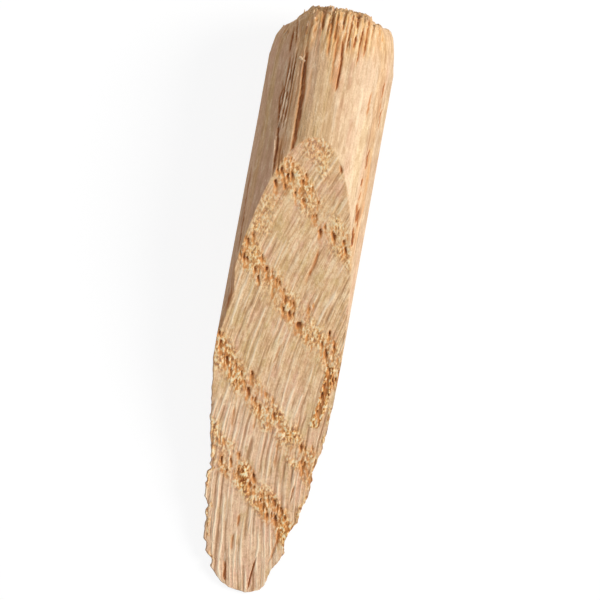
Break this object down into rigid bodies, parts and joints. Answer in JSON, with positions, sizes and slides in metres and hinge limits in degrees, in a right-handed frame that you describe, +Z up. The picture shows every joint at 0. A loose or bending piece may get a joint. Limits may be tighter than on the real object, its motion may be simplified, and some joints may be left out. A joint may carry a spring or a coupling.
{
  "type": "pocket hole plug",
  "caption": "Oak plug cut from a round dowel with one long sloping face; glued into a slanted pocket screw hole to hide the screw.",
  "frame": {"origin": "under the middle of the plug, on the surface that it lies on", "axes": "+Y along the dowel to the blunt end, +Z up, with the thin tip at -Y and the sloping face up"},
  "size_m": [0.0096, 0.0448, 0.0095],
  "materials": {
    "oak": "raw, unsanded"
  },
  "bodies": {
    "root": {"plug": "oak"}
  },
  "joints": []
}
